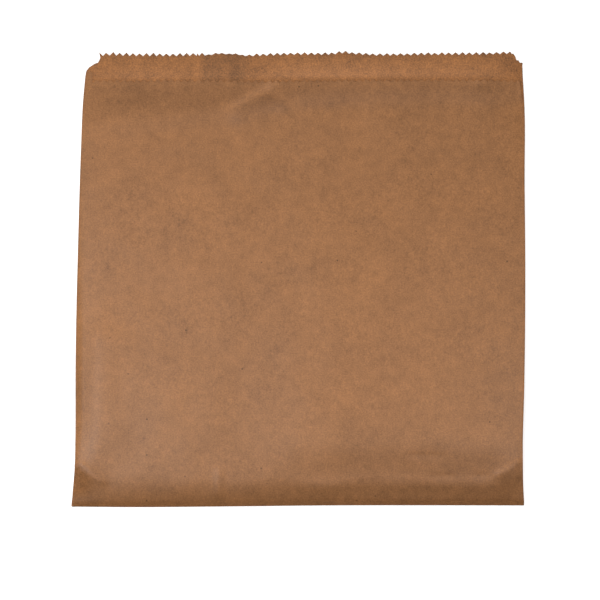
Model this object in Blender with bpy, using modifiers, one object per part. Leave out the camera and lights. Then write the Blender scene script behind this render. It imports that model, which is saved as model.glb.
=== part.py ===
"""Flat brown paper lunch bag, made the way the real one is: one kraft sheet folded into a flat tube.

The long edges of the sheet lap and are pasted down the back wall. The lower end of the tube is turned up
behind and pasted. A saw-tooth knife cuts the mouth, with the back wall left longer than the front as a lip.
The bag is first built pressed flat, and then its front wall is raised a little, as on a bag that has
relaxed. It lies on its back: X runs across it, Y from the bottom fold to the mouth, and Z is up.
"""

import math

import bmesh
import bpy
import numpy as np

# Driving sizes, in metres
BAG_WIDTH = 0.216  # across the pressed tube, from fold to fold
FRONT_LENGTH = 0.206  # from the bottom fold to the notches of the front edge
LIP_LENGTH = 0.011  # how far the back wall stands past the front wall
PAPER = 0.00008  # one layer of kraft paper
PASTE = 0.00005  # a line of paste between two layers
POCKET_GAP = 0.0001  # left between the pressed walls
LAP_WIDTH = 0.021
LAP_CENTRE = -0.038
LAP_CLIMB = 0.0015  # run in which the inner layer climbs over the edge of the outer one
FLAP_LENGTH = 0.024  # the turned-up bottom, along its outer layer
TURN_RADIUS = 0.00005  # inside the bottom fold

TOOTH_PITCH = 0.0033
TOOTH_DEPTH = 0.0019
LAP_TOOTH_DEPTH = 0.0007  # where two layers were cut at once
LEFT_CORNER_DROP = 0.0057  # of the back edge at the left fold
RIGHT_CORNER_DROP = 0.0037
FRONT_CORNER_RUN = 0.005  # stretch of the front edge without teeth that climbs to the left fold
BACK_CORNER_RUN = 0.0066
SLIT_LENGTH = 0.012  # the right fold is open this far below the front edge
SLIT_WIDTH = 0.0022

LAP_PASTE_INSET = 0.003  # from each edge of the lap
FLAP_PASTE_INSET = 0.001  # from the edge of the turned-up bottom
PASTE_END_INSET = 0.020  # from the side folds, the mouth and the turned-up bottom

PUFF = 0.0056  # how far the front wall stands off the back wall
LEFT_SHOULDER = 0.013  # width of the slope along each edge of the raised front wall
RIGHT_SHOULDER = 0.035
BOTTOM_SHOULDER = 0.0115
SIDE_DRAW_IN = 0.0009  # each side fold moves in as the front wall rises
CREASE_LIFT = 0.0012  # each side fold leaves the table
CREASE_LIFT_WIDTH = 0.022
SIDE_LEAN = math.radians(0.45)  # the side folds lean to the right towards the mouth
END_SLOPE = math.radians(-0.25)  # the bottom fold and the mouth aren't quite square to them

COLUMN_STEP = 0.021  # widest cell of the sheet
ROW_STEP = 0.022
FOLD_STEPS = 4  # facets around each fold
SHOULDER_STEPS = (0.12, 0.3, 0.52, 0.76, 1.0)  # cells across a shoulder, as shares of its width
CREASE_LIFT_STEPS = (0.15, 0.4, 1.0)  # columns across the lifted strip of the back wall
FLAP_STEPS = (0.0, 0.4, 0.75)  # rows of the turned-up bottom, from its cut edge
FIRST_CUT_ROW = 0.0
TURN_ROW = 1.0
BODY_ROW = 2.0
MOUTH_ROW = 3.0
SHARP_ANGLE = math.radians(35)  # edges sharper than this are shaded as edges

KRAFT_COLOUR = (0.36, 0.18, 0.085, 1.0)
KRAFT_ROUGHNESS = 0.72

HALF_WIDTH = BAG_WIDTH / 2
BACK_LENGTH = FRONT_LENGTH + LIP_LENGTH
CUT_LENGTH = FRONT_LENGTH + FLAP_LENGTH  # sheet used for each bag, from knife cut to knife cut
LAP_LEFT = LAP_CENTRE - LAP_WIDTH / 2
LAP_RIGHT = LAP_CENTRE + LAP_WIDTH / 2
OUTER_LAYER = PAPER / 2  # middle of each layer above the outside of the back wall
INNER_LAYER = OUTER_LAYER + PAPER + PASTE
FRONT_LAYER = INNER_LAYER + PAPER + POCKET_GAP
FOLD_RADIUS = (FRONT_LAYER - OUTER_LAYER) / 2
PRESSED_HEIGHT = FRONT_LAYER + PAPER / 2
FLAP_STACK = PRESSED_HEIGHT + 2 * TURN_RADIUS  # the back wall stands this high over the whole flap
PASTED_STACK = PAPER + PASTE  # and this high where only the outer layer of the flap is under it
INNER_FLAP_LENGTH = FLAP_LENGTH - LIP_LENGTH
STEP_CLEARANCE = 0.0006  # beyond an edge, before the layer above it comes down
STEP_RUN = 0.002  # in which it comes down past the inner layer of the flap
OUTER_STEP_RUN = 1.5 * STEP_RUN  # and past the outer layer
SIDE_STEP_RUN = 2 * STEP_RUN
SIDE_STACK_WIDTH = 2 * BACK_CORNER_RUN  # beside each side fold the back wall stays up over the flap


def shares(count):
    """Even shares from 0 to 1, without the ends."""
    return [i / count for i in range(1, count)]


def across(start, end):
    """Even places from start to end, without the ends and no wider apart than COLUMN_STEP."""
    count = max(1, math.ceil(abs(end - start) / COLUMN_STEP))
    return [start + (end - start) * share for share in shares(count)]


def side_columns(side, shoulder):
    """Places in from a side fold, from the fold inwards. side is -1 for the left and 1 for the right."""
    return [side * (HALF_WIDTH - shoulder * share) for share in SHOULDER_STEPS]


def fold_columns(side, upwards):
    """Places around a side fold, as (x, height, share of the way to the front wall)."""
    steps = shares(FOLD_STEPS)
    turns = steps if upwards else steps[::-1]
    return [
        (
            side * (HALF_WIDTH - FOLD_RADIUS + FOLD_RADIUS * math.sin(math.pi * turn)),
            OUTER_LAYER + FOLD_RADIUS * (1 - math.cos(math.pi * turn)),
            turn,
        )
        for turn in turns
    ]


def girth_columns():
    """The columns of the sheet once around the tube, as (x, height, share of the way to the front wall).

    They start at the edge of the inner layer of the lap, run left along the back wall, over the left fold,
    right along the front wall, over the right fold, and left to the edge of the outer layer of the lap.
    """
    fold_end = HALF_WIDTH - FOLD_RADIUS
    stack_edge = [SIDE_STACK_WIDTH, SIDE_STACK_WIDTH + SIDE_STEP_RUN]
    margins = sorted(stack_edge + [CREASE_LIFT_WIDTH * share for share in CREASE_LIFT_STEPS])
    climb_top = LAP_LEFT - STEP_CLEARANCE
    climb_foot = climb_top - LAP_CLIMB
    left_margin = [margin - HALF_WIDTH for margin in margins]
    right_margin = [HALF_WIDTH - margin for margin in margins]
    columns = [(x, INNER_LAYER, 0) for x in (LAP_RIGHT, *across(LAP_RIGHT, climb_top), climb_top)]
    columns += [(x, OUTER_LAYER, 0) for x in (climb_foot, *across(climb_foot, left_margin[-1]))]
    columns += [(x, OUTER_LAYER, 0) for x in (*reversed(left_margin), -fold_end)]
    columns += fold_columns(-1, True)
    left_slope = side_columns(-1, LEFT_SHOULDER)
    right_slope = side_columns(1, RIGHT_SHOULDER)
    middle = across(left_slope[-1], right_slope[-1])
    front = [-fold_end, *left_slope, *middle, *reversed(right_slope), fold_end]
    columns += [(x, FRONT_LAYER, 1) for x in front]
    columns += fold_columns(1, False)
    columns += [(x, OUTER_LAYER, 0) for x in (fold_end, *right_margin)]
    columns += [(x, OUTER_LAYER, 0) for x in (*across(right_margin[-1], LAP_LEFT), LAP_LEFT)]
    return np.array(columns)


def girth_lengths(columns):
    """The place of each column along the sheet, from its first edge."""
    steps = np.hypot(np.diff(columns[:, 0]), np.diff(columns[:, 1]))
    return np.concatenate([[0.0], np.cumsum(steps)])


def notch_line(x, front_share):
    """The length from the bottom fold to the notches of the knife cut."""
    left, right = HALF_WIDTH + x, HALF_WIDTH - x
    left_drop = LEFT_CORNER_DROP * max(0.0, 1 - left / BACK_CORNER_RUN)
    right_drop = RIGHT_CORNER_DROP * max(0.0, 1 - right / BACK_CORNER_RUN)
    climb = (LIP_LENGTH - LEFT_CORNER_DROP) * max(0.0, 1 - left / FRONT_CORNER_RUN)
    back = BACK_LENGTH - left_drop - right_drop
    front = FRONT_LENGTH + climb
    return back + (front - back) * front_share


def toothed_half_width(front_share):
    """How far from the middle of the bag a wall's teeth reach. Beyond them the edge runs down to the fold."""
    return HALF_WIDTH - (FRONT_CORNER_RUN if front_share else BACK_CORNER_RUN)


def tooth_height(x, front_share):
    """The height of the knife cut above its notches: 0 in a notch, and the tooth's depth at a tip."""
    if 0 < front_share < 1 or abs(x) >= toothed_half_width(front_share):
        return 0.0
    in_lap = not front_share and LAP_LEFT < x < LAP_RIGHT
    depth = LAP_TOOTH_DEPTH if in_lap else TOOTH_DEPTH
    place = (x / TOOTH_PITCH) % 1
    return depth * (1 - 2 * min(place, 1 - place))


def tooth_places(x_start, x_end, front_share):
    """The ends, tips and notches of the teeth between two places across the bag, in order."""
    half = TOOTH_PITCH / 2
    closest = half / 4
    end = toothed_half_width(front_share)
    last = math.floor((end - closest) / half)
    places = [-end, *(i * half for i in range(-last, last + 1)), end]
    low, high = sorted((x_start, x_end))
    found = [x for x in places if x - low > closest and high - x > closest]
    return found if x_start < x_end else found[::-1]


def body_rows():
    """Rows of the sheet from the bottom fold to the mouth, as shares of the wall's length."""
    slope = [BOTTOM_SHOULDER * share for share in SHOULDER_STEPS[:-1]]
    steps = [INNER_FLAP_LENGTH + TOOTH_DEPTH + STEP_CLEARANCE]
    steps.append(steps[0] + STEP_RUN)
    steps.append(FLAP_LENGTH + STEP_CLEARANCE)
    steps.append(steps[-1] + OUTER_STEP_RUN)
    top = FRONT_LENGTH - 2 * TOOTH_DEPTH
    count = max(2, math.ceil((top - steps[-1]) / ROW_STEP))
    even = [steps[-1] + (top - steps[-1]) * i / count for i in range(1, count + 1)]
    return [place / FRONT_LENGTH for place in slope + steps + even]


def stack_height(x, y):
    """How high the outside of the back wall stands over the turned-up bottom, which lies under it."""
    beside = HALF_WIDTH - np.abs(x)
    middle = np.clip((beside - SIDE_STACK_WIDTH) / SIDE_STEP_RUN, 0, 1)
    inner_end = INNER_FLAP_LENGTH + TOOTH_DEPTH + STEP_CLEARANCE
    outer_end = FLAP_LENGTH + STEP_CLEARANCE
    past_inner = np.clip((y - inner_end) / STEP_RUN, 0, 1)
    past_outer = np.clip((y - outer_end) / OUTER_STEP_RUN, 0, 1)
    stack = FLAP_STACK + (PASTED_STACK - FLAP_STACK) * past_inner * middle
    return stack * (1 - past_outer)


def blank_sheet():
    """The sheet as a flat grid, with its columns, rows and knife cuts in place.

    Each vertex holds its place along the girth, its row (0 to 1 in the flap, 1 to 2 around the bottom fold,
    2 to 3 in the body) and the height of the knife cut there.
    """
    columns = girth_columns()
    lengths = girth_lengths(columns)
    turn = [TURN_ROW + i / FOLD_STEPS for i in range(FOLD_STEPS)]
    body = [BODY_ROW + share for share in body_rows()]
    rows = [*FLAP_STEPS, *turn, BODY_ROW, *body, MOUTH_ROW]
    sheet = bmesh.new()
    bmesh.ops.create_grid(sheet, x_segments=len(columns) - 1, y_segments=len(rows) - 1, size=0.5)
    grid_x = (len(columns) - 1, lengths)
    grid_y = (len(rows) - 1, np.array(rows))
    for vertex in sheet.verts:
        for axis, (count, places) in enumerate((grid_x, grid_y)):
            vertex.co[axis] = places[round((vertex.co[axis] + 0.5) * count)]
        vertex.co.z = 0
    cut_teeth(sheet, columns, lengths)
    bmesh.ops.triangulate(sheet, faces=sheet.faces[:])
    return sheet, columns, lengths


def cut_teeth(sheet, columns, lengths):
    """Splits the two cut edges of the sheet at each tip and notch, and raises each of their vertices."""
    cut_rows = (FIRST_CUT_ROW, MOUTH_ROW)
    cut_edges = [
        edge
        for edge in sheet.edges
        if edge.is_boundary and edge.verts[0].co.y == edge.verts[1].co.y and edge.verts[0].co.y in cut_rows
    ]
    for edge in cut_edges:
        start, end = sorted(edge.verts, key=lambda vertex: vertex.co.x)
        x_start, x_end = np.interp((start.co.x, end.co.x), lengths, columns[:, 0])
        share = np.interp((start.co.x + end.co.x) / 2, lengths, columns[:, 2])
        if 0 < share < 1:
            continue
        first, rest = start, edge
        for place in tooth_places(x_start, x_end, share):
            whole = (place - x_start) / (x_end - x_start)
            along = start.co.x + (end.co.x - start.co.x) * whole
            part = (along - first.co.x) / (end.co.x - first.co.x)
            beyond, first = bmesh.utils.edge_split(rest, first, part)
            rest = beyond if end in beyond.verts else rest
    for vertex in sheet.verts:
        if vertex.co.y not in cut_rows:
            continue
        x, front_share = (np.interp(vertex.co.x, lengths, columns[:, i]) for i in (0, 2))
        notch = notch_line(x, front_share)
        tooth = tooth_height(x, front_share)
        vertex.co.y += tooth / notch if vertex.co.y else tooth / (CUT_LENGTH - notch)


def fold(sheet, columns, lengths):
    """Folds the flat grid into the pressed bag: around the tube, and around the bottom fold."""
    for vertex in sheet.verts:
        along, row = vertex.co.x, vertex.co.y
        x, height, front_share = (np.interp(along, lengths, columns[:, i]) for i in range(3))
        notch = notch_line(x, front_share)
        radius = TURN_RADIUS + height
        if row < TURN_ROW:
            y = (CUT_LENGTH - notch) * (TURN_ROW - row)
            z = PRESSED_HEIGHT - height
        elif row < BODY_ROW:
            angle = math.pi * (BODY_ROW - row)
            y = -radius * math.sin(angle)
            z = FLAP_STACK - TURN_RADIUS + radius * math.cos(angle)
        else:
            y = notch * (row - BODY_ROW)
            z = stack_height(x, y) + height
        vertex.co = (x, y, z)


def add_object(name, mesh, collection):
    made = bpy.data.objects.new(name, mesh)
    collection.objects.link(made)
    return made


def block(name, low, high, collection, slant=0.0):
    """A box between two corners. slant moves the lower end of its left side to the right."""
    shape = bmesh.new()
    bmesh.ops.create_cube(shape, size=1)
    for vertex in shape.verts:
        left, lower = vertex.co.x < 0, vertex.co.y < 0
        vertex.co = [low[i] if vertex.co[i] < 0 else high[i] for i in range(3)]
        if left and lower:
            vertex.co.x += slant
    mesh = bpy.data.meshes.new(name)
    shape.to_mesh(mesh)
    shape.free()
    made = add_object(name, mesh, collection)
    made.hide_render = True
    made.display_type = "WIRE"
    return made


def join(target, name, helper, operation):
    step = target.modifiers.new(name, "BOOLEAN")
    step.operation = operation
    step.object = helper
    step.solver = "EXACT"


def pressed_bag(parts, helpers):
    """The bag pressed flat: the folded sheet with its thickness, its two lines of paste and its slit."""
    sheet, columns, lengths = blank_sheet()
    fold(sheet, columns, lengths)
    bmesh.ops.recalc_face_normals(sheet, faces=sheet.faces[:])
    mesh = bpy.data.meshes.new("paper_bag")
    sheet.to_mesh(mesh)
    sheet.free()
    bag = add_object("paper_bag", mesh, parts)
    wall = bag.modifiers.new("paper", "SOLIDIFY")
    wall.thickness = PAPER
    wall.offset = 0
    wall.use_quality_normals = True

    flap_end = FLAP_LENGTH + PASTE_END_INSET
    lap_paste = block(
        "lap_paste",
        (LAP_LEFT + LAP_PASTE_INSET, flap_end, OUTER_LAYER),
        (LAP_RIGHT - LAP_PASTE_INSET, FRONT_LENGTH - PASTE_END_INSET, INNER_LAYER),
        helpers,
    )
    flap_top = PASTED_STACK + OUTER_LAYER
    paste_start = INNER_FLAP_LENGTH + TOOTH_DEPTH + 2 * STEP_CLEARANCE + STEP_RUN
    flap_paste = block(
        "flap_paste",
        (PASTE_END_INSET - HALF_WIDTH, paste_start, OUTER_LAYER),
        (HALF_WIDTH - PASTE_END_INSET, FLAP_LENGTH - TOOTH_DEPTH - FLAP_PASTE_INSET, flap_top),
        helpers,
    )
    beyond = HALF_WIDTH + SLIT_WIDTH
    slit = block(
        "fold_slit",
        (HALF_WIDTH - SLIT_WIDTH, FRONT_LENGTH - SLIT_LENGTH, OUTER_LAYER + FOLD_RADIUS),
        (beyond, BACK_LENGTH, PRESSED_HEIGHT + SLIT_WIDTH),
        helpers,
        slant=SLIT_WIDTH + PAPER,
    )
    join(bag, "paste the lap", lap_paste, "UNION")
    join(bag, "paste the flap", flap_paste, "UNION")
    join(bag, "open the right fold", slit, "DIFFERENCE")
    return bag


def rounded(share):
    """A slope from 0 to 1 that is steep at its foot and level at its top."""
    share = np.clip(share, 0, 1)
    return share * (2 - share)


def eased(share):
    """A slope from 0 to 1 that is level at both ends."""
    share = np.clip(share, 0, 1)
    return share * share * (3 - 2 * share)


def open_up(points):
    """Moves the points of the pressed bag to where they lie on the relaxed one."""
    x, y, z = points.T
    above = z - stack_height(x, y)
    walls = (INNER_LAYER + PAPER / 2, FRONT_LAYER - PAPER / 2)
    front = np.clip((above - walls[0]) / (walls[1] - walls[0]), 0, 1) * (y > 0)
    left = rounded((x + HALF_WIDTH) / LEFT_SHOULDER)
    right = rounded((HALF_WIDTH - x) / RIGHT_SHOULDER)
    bottom = rounded(y / BOTTOM_SHOULDER)
    beside = HALF_WIDTH - np.abs(x)
    over_flap = FLAP_LENGTH + STEP_CLEARANCE + OUTER_STEP_RUN
    length_share = eased((y - over_flap) / over_flap)
    crease = CREASE_LIFT * length_share * np.clip(1 - beside / CREASE_LIFT_WIDTH, 0, 1) ** 2
    z = z + PUFF * front * left * right * bottom + crease
    x = x * (1 - SIDE_DRAW_IN / HALF_WIDTH * eased(y / over_flap))
    middle = BACK_LENGTH / 2
    return np.stack([x + math.tan(SIDE_LEAN) * (y - middle), y + math.tan(END_SLOPE) * x, z], axis=1)


def relaxed_bag(bag):
    """Makes the pressed bag's shape final, opens it up, and centres it on the origin."""
    graph = bpy.context.evaluated_depsgraph_get()
    mesh = bpy.data.meshes.new_from_object(bag.evaluated_get(graph))
    bag.modifiers.clear()
    pressed, bag.data = bag.data, mesh
    bpy.data.meshes.remove(pressed)
    shape = bmesh.new()
    shape.from_mesh(mesh)
    bmesh.ops.triangulate(shape, faces=shape.faces[:])
    points = open_up(np.array([vertex.co for vertex in shape.verts]))
    middle = (points.min(axis=0) + points.max(axis=0)) / 2
    middle[2] = points[:, 2].min()
    for vertex, point in zip(shape.verts, points - middle):
        vertex.co = point
    shape.to_mesh(mesh)
    shape.free()
    mesh.shade_smooth()
    mesh.set_sharp_from_angle(angle=SHARP_ANGLE)


def kraft_paper():
    material = bpy.data.materials.new("kraft_paper")
    material.use_nodes = True
    surface = material.node_tree.nodes["Principled BSDF"]
    surface.inputs["Base Color"].default_value = KRAFT_COLOUR
    surface.inputs["Roughness"].default_value = KRAFT_ROUGHNESS
    surface.inputs["Metallic"].default_value = 0.0
    return material


def collection_named(name):
    made = bpy.data.collections.new(name)
    bpy.context.scene.collection.children.link(made)
    return made


def main():
    for old in list(bpy.data.objects):
        bpy.data.objects.remove(old)
    parts = collection_named("paper_lunch_bag")
    helpers = collection_named("cutters")
    bag = pressed_bag(parts, helpers)
    relaxed_bag(bag)
    bag.data.materials.clear()
    bag.data.materials.append(kraft_paper())


main()
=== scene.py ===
"""The looks of a flat brown paper lunch bag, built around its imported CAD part.

Geometry Nodes lay out the kraft sheet with a saw-toothed cut at each end. The sheet is folded into the
tube with its lap, its turned-up bottom and its open right fold. It is shaped as the bag lies: a little open,
with the soft folds and creases that handling leaves. It lies on its back, as in the CAD: X across, Y to the
mouth, Z up.
"""

import math

import bmesh
import bpy
import numpy as np
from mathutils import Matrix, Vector, noise


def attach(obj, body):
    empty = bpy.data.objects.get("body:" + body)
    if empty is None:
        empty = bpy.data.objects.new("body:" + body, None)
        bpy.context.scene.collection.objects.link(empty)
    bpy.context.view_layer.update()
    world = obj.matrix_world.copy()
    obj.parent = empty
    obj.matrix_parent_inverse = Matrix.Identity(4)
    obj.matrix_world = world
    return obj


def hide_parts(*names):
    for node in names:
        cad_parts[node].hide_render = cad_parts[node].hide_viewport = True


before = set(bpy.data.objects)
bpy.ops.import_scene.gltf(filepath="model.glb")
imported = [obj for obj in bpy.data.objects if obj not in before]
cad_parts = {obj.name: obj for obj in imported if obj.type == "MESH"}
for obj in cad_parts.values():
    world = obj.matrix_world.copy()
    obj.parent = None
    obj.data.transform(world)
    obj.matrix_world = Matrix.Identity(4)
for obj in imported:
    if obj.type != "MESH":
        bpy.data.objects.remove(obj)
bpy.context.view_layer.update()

# Sizes of the sheet, in metres
BAG_WIDTH = 0.216
FRONT_LENGTH = 0.206  # from the bottom fold to the notches of the front edge
FLAP_LENGTH = 0.024  # the turned-up bottom, along its outer layer
LIP_LENGTH = 0.0125
PAPER = 0.00008
PASTE = 0.00005
POCKET_GAP = 0.0001
TURN_RADIUS = 0.00005
LAP_LEFT = -0.0502
LAP_RIGHT = -0.0287
LAP_CLIMB = 0.0015
LAP_EDGE_SINK = 0.00012  # the pasted inner edge of the lap is pressed into the layer under it
LAP_SOFTNESS = 0.0038  # the darker colour of the doubled strip, pasted paper with painted shade for the lesser light through two layers, fades over this width
LAP_UNEVENNESS = 0.45
LAP_PATCH = 0.006  # size of the patches in the doubled strip
LAP_PATCH_SEED = 11.0

# The knife cut. Places across the bag are shares of its width
TOOTH_PITCH = 0.0034045
LEFT_PITCH = 0.0033190  # left of the lap
TOOTH_PHASE = -0.000200
LEFT_PHASE = -0.098550
TOOTH_DEPTH = 0.0019
TOOTH_UNEVENNESS = 0.3
TOOTH_LEAN = 0.00022
TOOTH_SEED = 11
ROW_STRIDE = 7  # sets the teeth of the two cut ends apart in the random draw
TOOTH_WEAR = 0.22  # past its start, towards the right, the teeth are this much less deep
TOOTH_WEAR_START = 0.15
TOOTH_WEAR_FADE = 0.25
LAP_TOOTH_SHARE = 0.35  # depth left to the teeth where two layers were cut at once
FRONT_TOOTHED = (0.027, 0.993)  # the stretch of each edge that has teeth
LIP_TOOTHED = (0.031, 0.978)
END_MARGIN = 0.3  # a tip or notch nearer than this to the end of its stretch, in half teeth, is left out
SPUR_SHARE = 0.0325  # place of the last thin tooth by the left corner
SPUR_LEAN = -0.0011
SLIT_LENGTH = 0.0115  # the right fold is open this far below the front edge
SLIT_TOP = 0.0019  # how far in from the fold the front wall's free edge is at the mouth
SLIT_FOOT = 0.0011
SLIT_LIFT = 0.0007  # the free edge stands this much off the fold at the mouth

# Painted shade and wear. The next table has (x, length) points: above this line the front wall is duller, and
# painted a little darker as shade
SHADE_AND_DULL_FROM = ((-0.108, 0.174), (-0.050, 0.180), (0.000, 0.189), (0.108, 0.190))
SHADE_AND_DULL_LENGTH = 0.014
# how dark the painted shade is, under the mouth and on the lower left corner facet
PAINTED_SHADE_DARKNESS = 0.06
HANDLED_ROUGHNESS = 0.3
DULL_SHADED_CORNER_SHARE = 0.080  # the lower left corner, below its crease, is worn duller still, and painted darker as shade
DULL_SHADED_CORNER_EDGE = 0.0022
DULL_SHADED_CORNER_FOOT = 0.010
CORNER_SHADE_AND_DULLING = 2.3
TIP_PAINTED_SHADE = 0.3  # the cut tips of the lip's teeth are painted darker, as shade along the cut edges

# The cells of the sheet
FOLD_TURNS = (0.0, 0.25, 0.5, 0.75, 1.0)  # columns around each side fold
FOLD_INSET = 0.0006  # the columns of a wall end this far from its fold
FLAP_ROWS = (0.0, 0.15, 0.4, 0.7)
TURN_ROWS = (0.0, 0.2, 0.4, 0.6, 0.8)
FOOT_END = 0.030  # fine rows up to here
FOOT_ROW = 0.0010
MIDDLE_END = 0.186  # and again from here to the mouth
MIDDLE_ROWS = 92
MOUTH_ROWS = 19

# How the bag lies open, mostly as (length from the bottom fold, height) points
FRONT_HEIGHTS = (
    (0.0, 0.0064), (0.028, 0.0064), (0.070, 0.0055), (0.120, 0.0044), (0.192, 0.0036), (0.220, 0.0036),
)
MOUTH_CURL = 0.0014
MOUTH_CURL_LENGTH = 0.0170
LEFT_CURL = 1.5  # the front edge curls up this much more at the left
LEFT_CURL_END = 0.28  # up to here, as a share across
LEFT_CURL_FADE = 0.14
MOUTH_PART = 0.150  # from this length up the sheet is fitted to the mouth, and the back wall rises
MOUTH_CLOSENESS = 0.96  # how far the back wall comes up to the front edge at the mouth
LIP_FALLS = (  # the share of its height at the front edge that the lip loses up to its teeth, at each x
    (-0.108, 0.40), (-0.080, 0.54), (-0.055, 0.42), (-0.035, 0.38), (-0.012, 0.60), (0.030, 0.58),
    (0.060, 0.46), (0.108, 0.36),
)
LEFT_LIFT = (
    (0.0, 0.0054), (0.016, 0.0050), (0.036, 0.0030), (0.065, 0.0020), (0.110, 0.0024), (0.150, 0.0030),
    (0.190, 0.0034), (0.220, 0.0030),
)
RIGHT_LIFT = (
    (0.0, 0.0050), (0.035, 0.0053), (0.100, 0.0040), (0.170, 0.0026), (0.195, 0.0016), (0.220, 0.0008),
)
LIFT_WIDTH = 0.022
LEFT_SHOULDERS = ((0.0, 0.010), (0.060, 0.0135), (0.130, 0.019), (0.206, 0.028), (0.220, 0.028))
RIGHT_SHOULDER = 0.024
FOLD_ROUNDING = 0.0025
FOLD_ROUNDING_SHARE = 0.35  # share of the left slope that is in the rounding of its fold
FLAP_CORNER_OUT = 0.0006  # the turned-up flap shows this much past the lower left corner
FLAP_CORNER_SHARE = 0.05
FLAP_CORNER_LENGTH = 0.0035
SHEET_WAVES = ((0.00022, 0.045, 3.0), (0.00007, 0.012, 8.0))  # height, size and seed
RELIEF_FADE = 0.004  # the relief of the front wall fades out in this width at its folds
WAVE_REACH = 1.6
CUT_EDGE_ANGLE = math.radians(50)  # edges sharper than this are shaded as cut edges

HALF_WIDTH = BAG_WIDTH / 2
CUT_LENGTH = FRONT_LENGTH + FLAP_LENGTH
OUTER_LAYER = PAPER / 2
INNER_LAYER = OUTER_LAYER + PAPER + PASTE
FRONT_LAYER = INNER_LAYER + PAPER + POCKET_GAP
FOLD_RADIUS = (FRONT_LAYER - OUTER_LAYER) / 2
PRESSED_HEIGHT = FRONT_LAYER + PAPER / 2
FLAP_STACK = PRESSED_HEIGHT + 2 * TURN_RADIUS
PASTED_STACK = PAPER + PASTE
FRONT_STACK_LENGTH = 0.045  # the front wall passes smoothly over the turned-up bottom in this length
INNER_FLAP_LENGTH = FLAP_LENGTH - LIP_LENGTH
SIDE_STACK = 0.013  # this near to a side fold the turned-up bottom keeps all its layers
SIDE_STACK_FADE = 0.004
INNER_STEP = (0.0025, 0.002)  # start and length of the step past each edge of the turned-up bottom
OUTER_STEP = (0.0006, 0.003)

# The outline of the bag as it lies: the side folds as (y, x), and the cross lines as (share across, y)
LEFT_FOLD = (
    (-0.1095, -0.10857), (-0.1050, -0.10843), (-0.0980, -0.10774), (-0.0905, -0.10720), (-0.0800, -0.10724),
    (-0.0405, -0.10762), (0.0175, -0.10685), (0.0615, -0.10586), (0.0860, -0.10500), (0.0949, -0.10430),
    (0.0980, -0.10402), (0.1005, -0.10355), (0.1100, -0.10335),
)
RIGHT_FOLD = (
    (-0.1095, 0.10722), (-0.0980, 0.10648), (-0.0830, 0.10635), (-0.0550, 0.10733), (-0.0405, 0.10774),
    (0.0030, 0.10852), (0.0470, 0.10870), (0.0830, 0.10910), (0.0910, 0.10880), (0.0970, 0.10850),
    (0.1100, 0.10832),
)
BOTTOM_FOLD = (
    (0.0, -0.11030), (0.14, -0.11050), (0.33, -0.11022), (0.56, -0.10972), (0.76, -0.10963), (1.0, -0.10972),
)
LIP_NOTCHES = (
    (0.0, 0.1003), (0.004, 0.1017), (0.019, 0.1037), (0.0245, 0.1041), (0.0268, 0.1053), (0.0300, 0.1067),
    (0.0325, 0.1079), (0.037, 0.1073), (0.045, 0.1077), (0.10, 0.1074), (0.20, 0.1072), (0.267, 0.1075),
    (0.283, 0.1076), (0.294, 0.1082), (0.313, 0.1083), (0.324, 0.1079), (0.338, 0.1082), (0.354, 0.1076),
    (0.368, 0.1070), (0.382, 0.1073), (0.47, 0.1081), (0.55, 0.1080), (0.575, 0.1084), (0.59, 0.1089),
    (0.61, 0.1083), (0.67, 0.1075), (0.80, 0.1078), (0.90, 0.1078), (0.970, 0.1085), (0.979, 0.1087),
    (0.9835, 0.1075), (0.9875, 0.1055), (0.9915, 0.1055), (0.9945, 0.1044), (1.0, 0.1043),
)
FRONT_NOTCHES = (
    (0.0, 0.1000), (0.0166, 0.0988), (0.0180, 0.0940), (0.10, 0.0937), (0.20, 0.0940), (0.40, 0.0936),
    (0.60, 0.0940), (0.80, 0.0942), (1.0, 0.0941),
)

# Extra columns that the cut corners need, as (share across, whether it carries a tooth)
LIP_LEFT_CORNER = (
    (0.004, None), (0.019, None), (0.0245, None), (0.0268, None), (0.0300, None), (SPUR_SHARE, True),
)
LIP_RIGHT_CORNER = ((0.979, None), (0.9835, None), (0.9875, None), (0.9915, None), (0.9945, None))
FRONT_CORNER = ((0.006, None), (0.0166, None), (0.0180, None))

# Where the dark slope up from the bottom fold ends, as (share across, length from the fold)
BOTTOM_CREST = (
    (0.0, 0.0200), (0.0065, 0.0192), (0.02, 0.0172), (0.033, 0.0154), (0.056, 0.0132), (0.10, 0.0122),
    (0.20, 0.0110), (0.30, 0.0098), (0.45, 0.0097), (0.60, 0.0103), (0.66, 0.0105), (0.80, 0.0103),
    (0.88, 0.0100), (0.92, 0.0103), (0.944, 0.0112), (0.967, 0.0130), (0.985, 0.0150), (1.0, 0.0172),
)
CREST_UNEVENNESS = 0.10
CREST_WAVE = 0.022
CREST_SEED = 5.0
FACET_SOFTNESS = 0.25  # how rounded the top of the slope is, as a share of its length
RIGHT_PART_START = 0.36  # the left part of the slope passes into the right part from here, in this share
RIGHT_PART_FADE = 0.24
SOFT_CREST_STRETCH = 1.44  # on the left the slope is softer and ends further up
SOFT_SLOPE_LENGTH = 0.055
SOFT_SLOPE_SHARE = 0.4
LEFT_OPENNESS = 0.79  # the left part of the bag is less open than the right
STEP_START = 0.0100  # on the right a second, gentler slope follows the first
STEP_LENGTH = 0.0215
STEP_SHARE = 0.41
CORNER_SHARE = 0.090  # width of the flat facet at each bottom corner, as a share of the bag
CORNER_OPENNESS = 0.35  # the left corner goes this share of the way to the right part's openness
CORNER_FADE = 0.030  # past the left facet the wall comes down to its usual height in this length
BOTTOM_ROUNDING_SHARE = 0.13  # share of the rise that is in the rounding of the bottom fold itself

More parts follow.
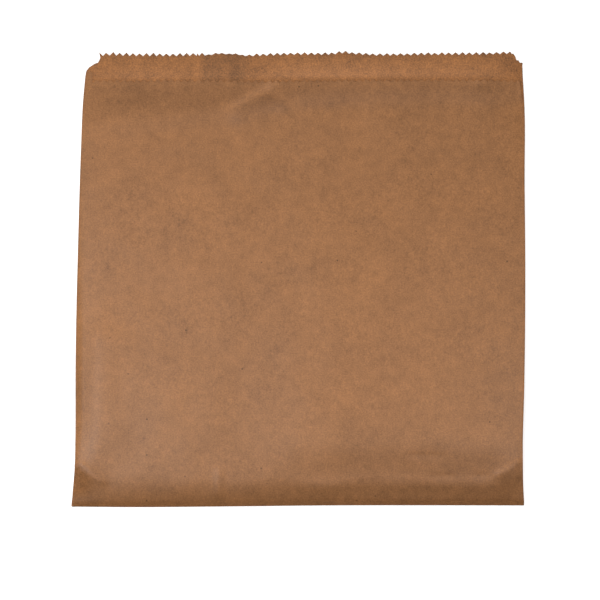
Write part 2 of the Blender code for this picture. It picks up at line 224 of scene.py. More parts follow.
# Folds, creases, a scuff and a soft ridge, as start, end, height and width, from the middle and the fold
FRONT_CREASES = (
    ((-0.0320, 0.1920), (-0.0180, 0.1995), 0.00115, 0.0028),
    ((-0.0165, 0.1985), (-0.0105, 0.1950), 0.00055, 0.0020),
    ((-0.1056, 0.0205), (-0.0946, 0.0122), 0.00045, 0.0011),
    ((0.0400, 0.1900), (0.0780, 0.1890), 0.00030, 0.0060),
    ((-0.0377, 0.0155), (-0.0373, 0.0060), 0.00035, 0.0009),
    ((0.0540, 0.0238), (0.0680, 0.0234), -0.00014, 0.0009),
    ((0.0640, 0.0137), (0.0740, 0.0139), -0.00012, 0.0009),
    ((0.0860, 0.0140), (0.0900, 0.0141), -0.00012, 0.0009),
    ((0.0970, 0.0150), (0.1065, 0.0215), 0.00050, 0.0011),
    ((0.0845, 0.2020), (0.0880, 0.2035), 0.00040, 0.0014),
    ((-0.0965, 0.0340), (-0.0965, 0.0780), 0.00060, 0.0050),
)
GENTLE_SIDE = 2.2  # the side of a fold towards the bottom is this much wider than the other


def line_through(points, places):
    """A smooth line through control points, read at the given places."""
    at, value = np.array(points).T
    slope = np.gradient(value, at)
    index = np.clip(np.searchsorted(at, places) - 1, 0, len(at) - 2)
    span = at[index + 1] - at[index]
    share = np.clip((places - at[index]) / span, 0, 1)
    near = (1 + 2 * share) * (1 - share) ** 2 * value[index] + share * (1 - share) ** 2 * span * slope[index]
    far = share**2 * (3 - 2 * share) * value[index + 1] + share**2 * (share - 1) * span * slope[index + 1]
    return near + far


def straight_through(points, places):
    """Straight lines between control points, read at the given places."""
    at, value = np.array(points).T
    return np.interp(places, at, value)


def eased(share):
    """A slope from 0 to 1 that is level at both ends."""
    share = np.clip(share, 0, 1)
    return share * share * (3 - 2 * share)


def rounded(share):
    """A slope from 0 to 1 that is steep at its foot and level at its top."""
    share = np.clip(share, 0, 1)
    return share * (2 - share)


def ramp(share, softness):
    """A straight slope from 0 to 1 with a rounded top."""
    gap = np.clip(softness - np.abs(share - 1), 0, None)
    return np.clip(np.minimum(share, 1) - gap * gap / (4 * softness), 0, None)


def tooth_places(start, end, phase, pitch):
    """Places of tips and notches in a stretch of the knife, with whether each is a tip."""
    half = pitch / 2
    first = math.ceil((start - phase) / half + END_MARGIN)
    last = math.floor((end - phase) / half - END_MARGIN)
    return [(phase + i * half, i % 2 == 0) for i in range(first, last + 1)]


def wall_places(start, end, corner=()):
    """Places of tips and notches between two places across the bag, with whether each is a tip."""
    low, high = sorted((start, end))
    found = [(share * BAG_WIDTH - HALF_WIDTH, tip) for share, tip in corner]
    left_end = max([low] + [x for x, tip in found if x < 0])
    right_end = min([high] + [x for x, tip in found if x > 0])
    found += tooth_places(left_end, min(right_end, LAP_LEFT), LEFT_PHASE, LEFT_PITCH)
    found += tooth_places(max(left_end, LAP_LEFT), right_end, TOOTH_PHASE, TOOTH_PITCH)
    return sorted(found, key=lambda place: place[0], reverse=start > end)


def fold_places(side, turns):
    """Columns around a side fold. Each has x, height, front share, and whether it keeps to the lip's line."""
    lip_side = 1.0 if side > 0 else 0.0
    return [
        (
            side * (HALF_WIDTH - FOLD_RADIUS + FOLD_RADIUS * math.sin(math.pi * turn)),
            OUTER_LAYER + FOLD_RADIUS * (1 - math.cos(math.pi * turn)),
            turn,
            lip_side,
        )
        for turn in turns
    ]


def sheet_columns():
    """The columns of the sheet once around the tube, from the inner edge of the lap to its outer edge.

    A tip of the saw teeth is always an even column, so a column is put in where the count needs it.
    """
    columns = []

    def add_wall(start, end, height, front, corner=()):
        columns.append((start, height, front, 0.0))
        for x, tip in wall_places(start, end, corner):
            if tip is not None and (len(columns) % 2 == 0) != tip:
                columns.append(((columns[-1][0] + x) / 2, height, front, 0.0))
            columns.append((x, height, front, 0.0))
        columns.append((end, height, front, 0.0))

    wall_end = HALF_WIDTH - FOLD_INSET
    climb_top = LAP_LEFT - LAP_CLIMB / 2
    add_wall(LAP_RIGHT, climb_top, INNER_LAYER, 0.0)
    columns[0] = (LAP_RIGHT, INNER_LAYER - LAP_EDGE_SINK, 0.0, 0.0)
    add_wall(climb_top - LAP_CLIMB, -wall_end, OUTER_LAYER, 0.0, LIP_LEFT_CORNER)
    columns.extend(fold_places(-1, FOLD_TURNS))
    add_wall(-wall_end, HALF_WIDTH - SLIT_FOOT, FRONT_LAYER, 1.0, FRONT_CORNER)
    slit_column = len(columns) - 1
    columns.extend(fold_places(1, FOLD_TURNS[::-1]))
    add_wall(wall_end, LAP_LEFT, OUTER_LAYER, 0.0, LIP_RIGHT_CORNER)
    return np.array(columns), slit_column


def sheet_rows():
    """The rows of the sheet, as (section, place).

    Section 0 is the turned-up flap, by its share from edge to fold. Section 1 is the turn of the bottom fold.
    Section 2 is the body, by its length from the fold.
    """
    flap = [(0, share) for share in FLAP_ROWS]
    turn = [(1, share) for share in TURN_ROWS]
    foot = np.arange(0.0, FOOT_END, FOOT_ROW)
    middle = np.linspace(FOOT_END, MIDDLE_END, MIDDLE_ROWS)
    mouth = np.linspace(MIDDLE_END, FRONT_LENGTH, MOUTH_ROWS)[1:]
    return np.array(flap + turn + [(2, y) for y in (*foot, *middle, *mouth)])


def blank_tree(material):
    """Geometry Nodes for the flat sheet: a cell for each half tooth and row, with teeth on both cut ends."""
    tree = bpy.data.node_groups.new("kraft_blank", "GeometryNodeTree")
    new_socket = tree.interface.new_socket
    wanted = (
        ("Columns", "NodeSocketInt"), ("Rows", "NodeSocketInt"), ("Tooth depth", "NodeSocketFloat"),
        ("Unevenness", "NodeSocketFloat"), ("Seed", "NodeSocketInt"),
    )
    sockets = {name: new_socket(name, in_out="INPUT", socket_type=kind).identifier for name, kind in wanted}
    new_socket("Geometry", in_out="OUTPUT", socket_type="NodeSocketGeometry")
    entry = tree.nodes.new("NodeGroupInput")
    link = tree.links.new

    def sums(operation, first, second):
        node = tree.nodes.new("ShaderNodeMath")
        node.operation = operation
        for socket, value in zip(node.inputs, (first, second)):
            if isinstance(value, (int, float)):
                socket.default_value = value
            else:
                link(value, socket)
        return node.outputs[0]

    last_column = sums("SUBTRACT", entry.outputs["Columns"], 1)
    last_row = sums("SUBTRACT", entry.outputs["Rows"], 1)
    grid = tree.nodes.new("GeometryNodeMeshGrid")
    link(entry.outputs["Columns"], grid.inputs["Vertices X"])
    link(entry.outputs["Rows"], grid.inputs["Vertices Y"])
    link(last_column, grid.inputs["Size X"])
    link(last_row, grid.inputs["Size Y"])

    corner = tree.nodes.new("ShaderNodeCombineXYZ")
    link(sums("MULTIPLY", last_column, 0.5), corner.inputs["X"])
    link(sums("MULTIPLY", last_row, 0.5), corner.inputs["Y"])
    laid = tree.nodes.new("GeometryNodeSetPosition")
    link(grid.outputs["Mesh"], laid.inputs["Geometry"])
    link(corner.outputs["Vector"], laid.inputs["Offset"])

    place = tree.nodes.new("ShaderNodeSeparateXYZ")
    link(tree.nodes.new("GeometryNodeInputPosition").outputs["Position"], place.inputs["Vector"])
    column = sums("ROUND", place.outputs["X"], 0)
    is_tip = sums("SUBTRACT", 1, sums("MODULO", column, 2))
    from_middle = sums("ABSOLUTE", sums("SUBTRACT", place.outputs["Y"], sums("MULTIPLY", last_row, 0.5)), 0)
    is_cut = sums("GREATER_THAN", from_middle, sums("SUBTRACT", sums("MULTIPLY", last_row, 0.5), 0.5))
    tooth_share = tree.nodes.new("FunctionNodeRandomValue")
    tooth_share.data_type = "FLOAT"
    floats = [socket for socket in tooth_share.inputs if socket.type == "VALUE"]
    link(sums("SUBTRACT", 1, entry.outputs["Unevenness"]), floats[0])
    floats[1].default_value = 1.0
    link(sums("ADD", column, sums("MULTIPLY", place.outputs["Y"], ROW_STRIDE)), tooth_share.inputs["ID"])
    link(entry.outputs["Seed"], tooth_share.inputs["Seed"])
    share = [socket for socket in tooth_share.outputs if socket.type == "VALUE"][0]
    depth = sums("MULTIPLY", entry.outputs["Tooth depth"], sums("MULTIPLY", is_tip, is_cut))

    marked = tree.nodes.new("GeometryNodeStoreNamedAttribute")
    marked.data_type = "FLOAT"
    marked.domain = "POINT"
    marked.inputs["Name"].default_value = "tooth"
    link(laid.outputs["Geometry"], marked.inputs["Geometry"])
    link(sums("MULTIPLY", depth, share), marked.inputs["Value"])
    real = tree.nodes.new("GeometryNodeRealizeInstances")
    link(marked.outputs["Geometry"], real.inputs["Geometry"])
    painted = tree.nodes.new("GeometryNodeSetMaterial")
    painted.inputs["Material"].default_value = material
    link(real.outputs["Geometry"], painted.inputs["Geometry"])
    out = tree.nodes.new("NodeGroupOutput")
    link(painted.outputs["Geometry"], out.inputs["Geometry"])
    return tree, sockets


def lay_out_blank(columns, rows, material):
    """The flat sheet as a mesh. The x and y of each vertex are its column and row."""
    tree, sockets = blank_tree(material)
    bag = bpy.data.objects.new("kraft_paper_bag", bpy.data.meshes.new("blank"))
    bpy.context.scene.collection.objects.link(bag)
    layout = bag.modifiers.new("blank", "NODES")
    layout.node_group = tree
    values = {
        "Columns": columns, "Rows": rows, "Tooth depth": TOOTH_DEPTH, "Unevenness": TOOTH_UNEVENNESS,
        "Seed": TOOTH_SEED,
    }
    for name, value in values.items():
        layout[sockets[name]] = value
    graph = bpy.context.evaluated_depsgraph_get()
    bag.data = bpy.data.meshes.new_from_object(bag.evaluated_get(graph))
    bag.data.name = "kraft_paper_bag"
    bag.modifiers.clear()
    return bag


def vertex_places(mesh):
    """The coordinates of the mesh's vertices as an array."""
    values = np.zeros(len(mesh.vertices) * 3, np.float32)
    mesh.vertices.foreach_get("co", values)
    return values.reshape(-1, 3).astype(float)


def vertex_numbers(mesh, name):
    """One attribute of the mesh's vertices as an array."""
    values = np.zeros(len(mesh.vertices), np.float32)
    mesh.attributes[name].data.foreach_get("value", values)
    return values.astype(float)


def mark_vertices(mesh, name, values):
    """Stores a number for each vertex, for the material to read."""
    mark = mesh.attributes.new(name, "FLOAT", "POINT")
    mark.data.foreach_set("value", values.astype(np.float32))


def cut_slit(mesh, rows, slit_column):
    """Takes out the cells between the front wall's free edge and the right fold, down from the mouth."""
    first_row = int(np.argmax((rows[:, 0] == 2) & (rows[:, 1] > FRONT_LENGTH - SLIT_LENGTH)))
    sheet = bmesh.new()
    sheet.from_mesh(mesh)

    def in_slit(face):
        middle = face.calc_center_median()
        return slit_column < middle.x < slit_column + 1 and middle.y > first_row

    gone = [face for face in sheet.faces if in_slit(face)]
    bmesh.ops.delete(sheet, geom=gone, context="FACES")
    sheet.to_mesh(mesh)
    sheet.free()


def lap_share(x, front):
    """How much a place is in the doubled strip of the back wall, with soft sides."""
    inside = eased((x - LAP_LEFT) / LAP_SOFTNESS + 0.5) * eased((LAP_RIGHT - x) / LAP_SOFTNESS + 0.5)
    return inside * (front < 0.5)


def tooth_sharpness(share, front):
    """How deep the teeth are cut at a place across the bag, as a share of the full tooth."""
    x = share * BAG_WIDTH - HALF_WIDTH
    worn = 1 - TOOTH_WEAR * eased((share - TOOTH_WEAR_START) / TOOTH_WEAR_FADE)
    worn = np.where(lap_share(x, front) > 0.5, LAP_TOOTH_SHARE, worn)
    on_front = (share > FRONT_TOOTHED[0]) & (share < FRONT_TOOTHED[1])
    on_lip = (share > LIP_TOOTHED[0]) & (share < LIP_TOOTHED[1])
    return worn * np.where(front > 0.5, on_front, on_lip)


def stack_height(x, y):
    """How high the outside of the back wall stands over the turned-up bottom, which lies under it."""
    beside = HALF_WIDTH - np.abs(x)
    middle = eased((beside - SIDE_STACK) / SIDE_STACK_FADE)
    past_inner = eased((y - INNER_FLAP_LENGTH - INNER_STEP[0]) / INNER_STEP[1])
    past_outer = eased((y - FLAP_LENGTH - OUTER_STEP[0]) / OUTER_STEP[1])
    stack = FLAP_STACK + (PASTED_STACK - FLAP_STACK) * past_inner * middle
    return stack * (1 - past_outer)


def bottom_rise(share, y):
    """How far the front wall has come up from the bottom fold, as a share of its full height.

    It comes up softly on the left, in two steps on the right, and as flat facets at the two corners.
    """
    uneven = 1 + CREST_UNEVENNESS * waves(share * BAG_WIDTH, 0 * share, CREST_WAVE, CREST_SEED)
    crest = line_through(BOTTOM_CREST, share) * uneven
    facet = ramp(y / crest, FACET_SOFTNESS)
    slope = rounded(y / (crest * SOFT_CREST_STRETCH))
    soft = slope + (rounded(y / SOFT_SLOPE_LENGTH) - slope) * SOFT_SLOPE_SHARE
    stepped = facet + (eased((y - STEP_START) / STEP_LENGTH) - facet) * STEP_SHARE
    to_right = eased((share - RIGHT_PART_START) / RIGHT_PART_FADE)
    wall = soft + (stepped - soft) * to_right
    corner = 1 - eased(np.minimum(share, 1 - share) / CORNER_SHARE)
    rise = wall + (facet - wall) * corner
    rise = rise + (rounded(y / FOLD_ROUNDING) - rise) * BOTTOM_ROUNDING_SHARE
    near_corner = CORNER_OPENNESS * corner * (1 - eased((y - crest) / CORNER_FADE))
    return rise * (LEFT_OPENNESS + (1 - LEFT_OPENNESS) * np.maximum(to_right, near_corner))


def fold_lifts(y):
    """How high the left and right side folds stand off the table at a length from the bottom fold."""
    left = line_through(LEFT_LIFT, y) * bottom_rise(np.zeros_like(y), y)
    right = line_through(RIGHT_LIFT, y) * bottom_rise(np.ones_like(y), y)
    return left, right


def back_height(x, y):
    """How far the back wall leaves the table: at the side folds, and a little under the mouth."""
    left_lift, right_lift = fold_lifts(y)
    beside_left = np.clip(1 - (HALF_WIDTH + x) / LIFT_WIDTH, 0, 1)
    beside_right = np.clip(1 - (HALF_WIDTH - x) / LIFT_WIDTH, 0, 1)
    folds = left_lift * beside_left**2 + right_lift * beside_right**2
    closeness = MOUTH_CLOSENESS * eased((y - MOUTH_PART) / (FRONT_LENGTH - MOUTH_PART))
    lip = folds + (front_height(x, np.minimum(y, FRONT_LENGTH)) - folds) * closeness
    return lip * (1 - line_through(LIP_FALLS, x) * rounded((y - FRONT_LENGTH) / LIP_LENGTH))


def front_height(x, y):
    """How far the front wall stands above its pressed place."""
    share = (x + HALF_WIDTH) / BAG_WIDTH
    from_left = np.clip(x + HALF_WIDTH, 0, None)
    from_right = np.clip(HALF_WIDTH - x, 0, None)
    at_fold = rounded(from_left / FOLD_ROUNDING)
    shoulder = rounded(from_left / line_through(LEFT_SHOULDERS, y))
    left = FOLD_ROUNDING_SHARE * at_fold + (1 - FOLD_ROUNDING_SHARE) * shoulder
    right = rounded(from_right / RIGHT_SHOULDER)
    left_lift = line_through(LEFT_LIFT, y)
    right_lift = line_through(RIGHT_LIFT, y)
    curl = MOUTH_CURL * eased((y - FRONT_LENGTH) / MOUTH_CURL_LENGTH + 1)
    curl = curl * (1 + (LEFT_CURL - 1) * (1 - eased((share - LEFT_CURL_END) / LEFT_CURL_FADE)))
    full = line_through(FRONT_HEIGHTS, y) + curl
    wall = full * left * right + left_lift * (1 - left) + right_lift * (1 - right)
    return wall * bottom_rise(share, y)


def ridge(x, y, start, end, height, width):
    """A soft ridge, or a groove if height is negative, along a line between two points."""
    line = np.array(end) - np.array(start)
    length = np.hypot(*line)
    along = ((x - start[0]) * line[0] + (y - start[1]) * line[1]) / length
    aside = ((x - start[0]) * line[1] - (y - start[1]) * line[0]) / length
    past_end = np.clip(np.maximum(-along, along - length), 0, None)
    side_width = np.where(aside > 0, GENTLE_SIDE * width, width)
    return height * np.exp(-(aside / side_width) ** 2 - (past_end / (2 * width)) ** 2)


def waves(x, y, size, seed):
    """Gentle uneven waves between -1 and 1."""
    return np.array([noise.noise(Vector((a / size, b / size, seed))) for a, b in zip(x, y)]) * WAVE_REACH


def pressed_sheet(place, tooth, columns, rows, slit_column):
    """Where each vertex of the sheet is in the bag pressed flat, from its column and row in the blank."""
    x, height, front, on_fold = columns[place[:, 0]].T
    section, length = rows[place[:, 1]].T
    share = (x + HALF_WIDTH) / BAG_WIDTH
    is_tooth = tooth > 0
    lean = TOOTH_LEAN * ((tooth / TOOTH_DEPTH - 1) * 2 / TOOTH_UNEVENNESS + 1) * is_tooth
    is_spur = is_tooth & (np.abs(share - SPUR_SHARE) < 1e-6) & (front < 0.5)
    tooth = tooth * tooth_sharpness(share, front)

    bottom = line_through(BOTTOM_FOLD, share)
    lip = straight_through(LIP_NOTCHES, share)
    front_edge = straight_through(FRONT_NOTCHES, share)
    mouth = np.where(on_fold > 0.5, lip, lip + (front_edge - lip) * front)
    wall_length = mouth - bottom
    radius = TURN_RADIUS + height
    angle = math.pi * (1 - length)
    reach = np.clip((length - MOUTH_PART) / (FRONT_LENGTH - MOUTH_PART), 0, 1)
    body_y = length + reach * (wall_length - FRONT_LENGTH) + tooth
    flap_y = (CUT_LENGTH - wall_length) * (1 - length) + tooth
    y = np.select([section == 0, section == 1], [flap_y, -radius * np.sin(angle)], body_y)
    turned = FLAP_STACK - TURN_RADIUS + radius * np.cos(angle)
    back_stack = stack_height(x, y)
    front_stack = FLAP_STACK * (1 - eased(y / FRONT_STACK_LENGTH))
    stack = back_stack + (front_stack - back_stack) * front
    z = np.select([section == 0, section == 1], [PRESSED_HEIGHT - height, turned], stack + height)

    x = x + lean + np.where(is_spur, SPUR_LEAN, 0)
    opened = np.clip((y - (FRONT_LENGTH - SLIT_LENGTH)) / SLIT_LENGTH, 0, 1)
    free_edge = (place[:, 0] == slit_column) & (section == 2)
    x = np.where(free_edge, x - (SLIT_TOP - SLIT_FOOT) * opened, x)
    z = np.where(free_edge, z + SLIT_LIFT * opened, z)
    turned_up = np.select([section == 0, section == 1], [np.ones_like(x), 1 - length], 0)
    out = FLAP_CORNER_OUT * (1 - eased(share / FLAP_CORNER_SHARE)) * (1 - eased(y / FLAP_CORNER_LENGTH))
    x = x - out * turned_up
    return x, y, z, front * (section == 2), bottom


def fold_sheet(bag, columns, rows, slit_column):
    """Folds the flat sheet into the bag and shapes it as it lies."""
    mesh = bag.data
    place = np.rint(vertex_places(mesh)).astype(int)
    tooth = vertex_numbers(mesh, "tooth")
    x, y, z, front, bottom = pressed_sheet(place, tooth, columns, rows, slit_column)

    relief = sum(ridge(x, y, *crease) for crease in FRONT_CREASES)
    for height, size, seed in SHEET_WAVES:
        relief = relief + height * waves(x, y, size, seed)
    relief = relief * eased((HALF_WIDTH - np.abs(x)) / RELIEF_FADE) * eased(y / RELIEF_FADE)
    back = back_height(x, y)
    z = z + back + front * (front_height(x, y) - back + relief)

    real_y = bottom + y
    left = line_through(LEFT_FOLD, real_y)
    right = line_through(RIGHT_FOLD, real_y)
    real_x = left + (right - left) * (x + HALF_WIDTH) / BAG_WIDTH
    points = np.stack([real_x, real_y, z - z.min() + PAPER / 2], axis=1)
    mesh.vertices.foreach_set("co", points.astype(np.float32).ravel())
    uneven = 1 + LAP_UNEVENNESS * (waves(x, y, LAP_PATCH, LAP_PATCH_SEED) - 0.5)
    # the doubled strip is pasted paper, and painted darker as shade for the lesser light through two layers
    mark_vertices(mesh, "doubled", lap_share(x, front) * uneven)
    # where the lip's cut tips get painted shade
    mark_vertices(mesh, "lip_tip_shade", tooth / TOOTH_DEPTH * (front < 0.5))
    share = (x + HALF_WIDTH) / BAG_WIDTH
    # the lower left corner facet gets painted shade and a duller finish
    below_crease = eased((line_through(BOTTOM_CREST, share) - y) / DULL_SHADED_CORNER_EDGE)
    at_corner = 1 - eased(share / DULL_SHADED_CORNER_SHARE)
    dull_shaded_corner = CORNER_SHADE_AND_DULLING * below_crease * at_corner * eased(y / DULL_SHADED_CORNER_FOOT)
    # painted shade and a duller finish under the mouth
    near_mouth = eased((y - line_through(SHADE_AND_DULL_FROM, x)) / SHADE_AND_DULL_LENGTH)
    mark_vertices(mesh, "dull_and_shade", front * (near_mouth + dull_shaded_corner))
    mesh.update()


def give_thickness(bag):
    """Gives the sheet its paper thickness, and marks which vertices are on the inner side of the paper."""
    mesh = bag.data
    sheet = bmesh.new()
    sheet.from_mesh(mesh)
    bmesh.ops.recalc_face_normals(sheet, faces=sheet.faces[:])
    sheet.to_mesh(mesh)
    sheet.free()
    count = len(mesh.vertices)
    paper = bag.modifiers.new("paper", "SOLIDIFY")
    paper.thickness = PAPER
    paper.offset = 0
    paper.use_quality_normals = True
    graph = bpy.context.evaluated_depsgraph_get()
    bag.data = bpy.data.meshes.new_from_object(bag.evaluated_get(graph))
    bag.data.name = "kraft_paper_bag"
    bag.modifiers.clear()
    mark_vertices(bag.data, "inner_side", np.arange(len(bag.data.vertices)) >= count)
    bag.data.shade_smooth()
    bag.data.set_sharp_from_angle(angle=CUT_EDGE_ANGLE)


class Nodes:
    """A short way to build a material's nodes. Inputs go by name, or by number as i0, i1 and so on."""

    def __init__(self, material):
        self.tree = material.node_tree

    def add(self, kind, settings=None, **inputs):
        node = self.tree.nodes.new(kind)
        for name, value in (settings or {}).items():
            setattr(node, name, value)
        for name, value in inputs.items():
            numbered = name[0] == "i" and name[1:].isdigit()
            socket = node.inputs[int(name[1:]) if numbered else name.replace("_", " ")]
            if isinstance(value, bpy.types.NodeSocket):
                self.tree.links.new(value, socket)
            else:
                socket.default_value = value
        return node

    def math(self, operation, first, second=0.0):
        return self.add("ShaderNodeMath", {"operation": operation}, i0=first, i1=second).outputs[0]

    def noise(self, place, scale, detail, roughness):
        made = self.add("ShaderNodeTexNoise", Vector=place, Scale=scale, Detail=detail, Roughness=roughness)
        return made.outputs["Fac"]

    def swing(self, value, amount):
        """A noise value turned into a change around zero."""
        return self.math("MULTIPLY", self.math("SUBTRACT", value, 0.5), amount)

    def attribute(self, name):
        return self.add("ShaderNodeAttribute", {"attribute_name": name}).outputs["Fac"]


# The finish of the paper. A pattern is (scale, detail, roughness), an amount how much it changes the tone
OUTER_KRAFT = (0.350, 0.151, 0.053, 1)
INNER_KRAFT = (0.322, 0.127, 0.036, 1)
# the doubled strip: pasted paper, painted darker as shade for the lesser light through two layers
PASTED_AND_SHADED_KRAFT = (0.244, 0.099, 0.030, 1)
MOTTLE = (1500, 3, 0.6)
MOTTLE_AMOUNT = 1.2
FIBRES = (900, 2, 0.6)
FIBRE_AMOUNT = 0.3
FIBRE_TURN = (0, 0, 0.3)
FIBRE_STRETCH = (1, 0.4, 1)
BLOTCHES = (210, 2, 0.6)
BLOTCH_AMOUNT = 0.46
CLOUDS = (45, 3, 0.55)
CLOUD_AMOUNT = 0.40
INNER_COARSENESS = 0.5  # the grain is this much stronger on the inner side
FLECK_SCALE = 110.0
FLECK_SIZE = 0.045
FLECK_RARITY = 0.965
FLECK_DARKNESS = 0.5
GLAZED_ROUGHNESS = 0.39
MOTTLE_ROUGHNESS = 0.16
INNER_ROUGHNESS = 0.3
PAPER_SPECULAR = 0.5
BUMP_STRENGTH = 0.5
BUMP_HEIGHT = 0.00006


def kraft_paper():
    """Brown kraft: machine-glazed outside, rougher and more orange inside, with fibres, clouds and flecks."""
    material = bpy.data.materials.new("kraft_paper")
    material.use_nodes = True
    nodes = Nodes(material)
    place = nodes.add("ShaderNodeTexCoord").outputs["Object"]
    inner = nodes.attribute("inner_side")
    dull_and_shade = nodes.attribute("dull_and_shade")
    mottle = nodes.noise(place, *MOTTLE)
    turned = nodes.add("ShaderNodeMapping", Vector=place, Rotation=FIBRE_TURN, Scale=FIBRE_STRETCH)
    fibres = nodes.noise(turned.outputs["Vector"], *FIBRES)
    blotches = nodes.noise(place, *BLOTCHES)
    clouds = nodes.noise(place, *CLOUDS)
    coarser = nodes.math("ADD", nodes.math("MULTIPLY", inner, INNER_COARSENESS), 1.0)
    grain = nodes.math("ADD", nodes.swing(mottle, MOTTLE_AMOUNT), nodes.swing(blotches, BLOTCH_AMOUNT))
    tone = nodes.math("ADD", nodes.math("MULTIPLY", grain, coarser), nodes.swing(fibres, FIBRE_AMOUNT))
    tone = nodes.math("ADD", tone, nodes.swing(clouds, CLOUD_AMOUNT))
    tone = nodes.math("ADD", tone, 1.0)
    cells = nodes.add(
        "ShaderNodeTexVoronoi", {"voronoi_dimensions": "2D"}, Vector=place, Scale=FLECK_SCALE
    ).outputs
    near = nodes.math("LESS_THAN", cells["Distance"], FLECK_SIZE)
    chosen = nodes.add("ShaderNodeSeparateColor", Color=cells["Color"]).outputs[0]
    fleck = nodes.math("MULTIPLY", near, nodes.math("GREATER_THAN", chosen, FLECK_RARITY))
    tone = nodes.math("SUBTRACT", tone, nodes.math("MULTIPLY", fleck, FLECK_DARKNESS))
    # painted shade along the cut tips of the lip's teeth
    tone = nodes.math("SUBTRACT", tone, nodes.math("MULTIPLY", nodes.attribute("lip_tip_shade"), TIP_PAINTED_SHADE))
    # painted shade under the mouth and on the lower left corner facet
    tone = nodes.math("SUBTRACT", tone, nodes.math("MULTIPLY", dull_and_shade, PAINTED_SHADE_DARKNESS))
    doubled = nodes.attribute("doubled")
    # the doubled strip's colour is partly pasted paper and partly painted shade
    inside = nodes.add(
        "ShaderNodeMix", {"data_type": "RGBA"}, i0=doubled, i6=INNER_KRAFT, i7=PASTED_AND_SHADED_KRAFT
    ).outputs[2]
    paper = nodes.add("ShaderNodeMix", {"data_type": "RGBA"}, i0=inner, i6=OUTER_KRAFT, i7=inside).outputs[2]
    colour = nodes.add("ShaderNodeVectorMath", {"operation": "SCALE"}, i0=paper, Scale=tone).outputs[0]
    surface = material.node_tree.nodes["Principled BSDF"]
    material.node_tree.links.new(colour, surface.inputs["Base Color"])
    inner_rough = nodes.math("MULTIPLY", inner, INNER_ROUGHNESS)
    rough = nodes.math("ADD", nodes.math("MULTIPLY", mottle, MOTTLE_ROUGHNESS), inner_rough)
    rough = nodes.math("ADD", rough, nodes.math("MULTIPLY", dull_and_shade, HANDLED_ROUGHNESS))
    material.node_tree.links.new(nodes.math("ADD", rough, GLAZED_ROUGHNESS), surface.inputs["Roughness"])
    surface.inputs["Specular IOR Level"].default_value = PAPER_SPECULAR
    relief = nodes.math("ADD", mottle, fibres)
    bump = nodes.add("ShaderNodeBump", Strength=BUMP_STRENGTH, Distance=BUMP_HEIGHT, Height=relief)
    material.node_tree.links.new(bump.outputs["Normal"], surface.inputs["Normal"])
    return material


def white_table():
    """A plain pale floor that reads as white to the camera and still takes the bag's shadow."""
    material = bpy.data.materials.new("white_table")
    material.use_nodes = True
    nodes = Nodes(material)
    surface = material.node_tree.nodes["Principled BSDF"]
    surface.inputs["Base Color"].default_value = TABLE_COLOUR
    surface.inputs["Roughness"].default_value = TABLE_ROUGHNESS
    ray = nodes.add("ShaderNodeLightPath")
    seen = nodes.math("MAXIMUM", ray.outputs["Is Camera Ray"], ray.outputs["Is Glossy Ray"])
    seen = nodes.math("MAXIMUM", seen, ray.outputs["Is Transmission Ray"])
    surface.inputs["Emission Color"].default_value = (1, 1, 1, 1)
    strength = nodes.math("MULTIPLY", seen, TABLE_GLOW)
    material.node_tree.links.new(strength, surface.inputs["Emission Strength"])
    return material


# The studio. Each lamp has its name, place, size and power
CAMERA_DISTANCE = 1.0
CAMERA_ELEVATION = math.radians(85)
LOOK_AT = Vector((0.00015, -0.0115, 0.0))
CAMERA_REACH = (0.01, 20)  # the nearest and the furthest that it sees
SENSOR_WIDTH = 36  # millimetres
PICTURE_WIDTH = 600  # pixels
FOCAL_PIXELS = 2073
LAMPS = (
    ("far_softbox", (-0.10, 3.7, 1.4), 1.0, 157),
    ("left_softbox", (-0.27, -0.11, 0.40), 0.15, 0.69),
    ("right_softbox", (0.20, -0.09, 0.42), 0.15, 0.42),
    ("top_softbox", (-0.19, -0.05, 0.65), 0.18, 0.78),
)
SKY_STRENGTH = 0.042
TABLE_SIZE = 6
TABLE_DROP = 0.00001  # the table is this far under the bag
TABLE_COLOUR = (0.82, 0.82, 0.82, 1)
TABLE_ROUGHNESS = 0.9
TABLE_GLOW = 0.6  # added where the camera sees the table, so that it reads as white


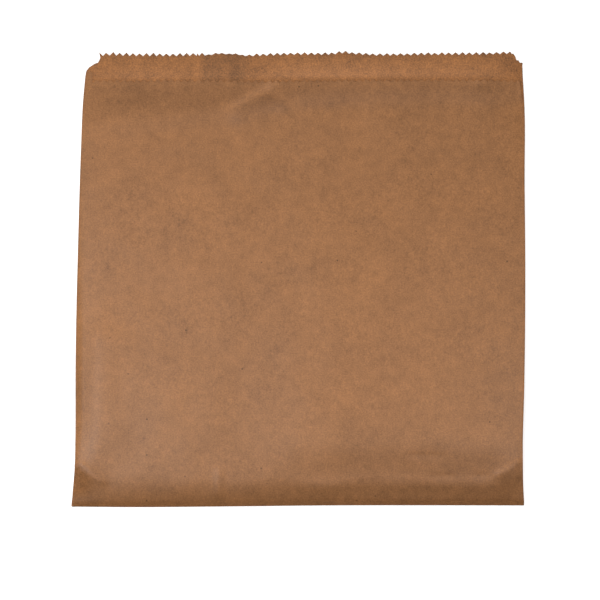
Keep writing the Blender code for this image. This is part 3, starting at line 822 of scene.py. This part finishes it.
def aim(thing, at):
    """Turns a camera or lamp towards a point."""
    thing.rotation_euler = (at - thing.location).to_track_quat("-Z", "Y").to_euler()


def add_camera():
    """The camera at the photograph's viewing angle, almost straight above."""
    camera = bpy.data.objects.new("camera", bpy.data.cameras.new("camera"))
    bpy.context.scene.collection.objects.link(camera)
    back = Vector((0, -math.cos(CAMERA_ELEVATION), math.sin(CAMERA_ELEVATION)))
    camera.location = LOOK_AT + back * CAMERA_DISTANCE
    aim(camera, LOOK_AT)
    camera.data.sensor_width = SENSOR_WIDTH
    camera.data.lens = FOCAL_PIXELS / PICTURE_WIDTH * camera.data.sensor_width
    camera.data.clip_start, camera.data.clip_end = CAMERA_REACH
    bpy.context.scene.camera = camera


def add_lamp(name, location, size, power):
    """A square softbox aimed at the bag."""
    lamp = bpy.data.objects.new(name, bpy.data.lights.new(name, "AREA"))
    bpy.context.scene.collection.objects.link(lamp)
    lamp.location = location
    lamp.data.size = size
    lamp.data.energy = power
    aim(lamp, Vector((0, 0, 0)))


def add_studio():
    """The white table, the lamps, and a faint sky that the camera sees as white."""
    bpy.ops.mesh.primitive_plane_add(size=TABLE_SIZE, location=(0, 0, -TABLE_DROP))
    floor = bpy.context.object
    floor.name = "table"
    floor.data.materials.append(white_table())
    for name, location, size, power in LAMPS:
        add_lamp(name, location, size, power)
    world = bpy.data.worlds.new("studio")
    world.use_nodes = True
    nodes = Nodes(world)
    background = world.node_tree.nodes["Background"]
    background.inputs["Color"].default_value = (1, 1, 1, 1)
    ray = nodes.add("ShaderNodeLightPath")
    strength = nodes.math("MAXIMUM", ray.outputs["Is Camera Ray"], SKY_STRENGTH)
    world.node_tree.links.new(strength, background.inputs["Strength"])
    bpy.context.scene.world = world


def main():
    bpy.context.scene.view_settings.view_transform = "Standard"
    add_camera()
    columns, slit_column = sheet_columns()
    rows = sheet_rows()
    bag = lay_out_blank(len(columns), len(rows), kraft_paper())
    cut_slit(bag.data, rows, slit_column)
    fold_sheet(bag, columns, rows, slit_column)
    give_thickness(bag)
    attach(bag, "root")
    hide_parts("paper_bag")
    add_studio()


main()
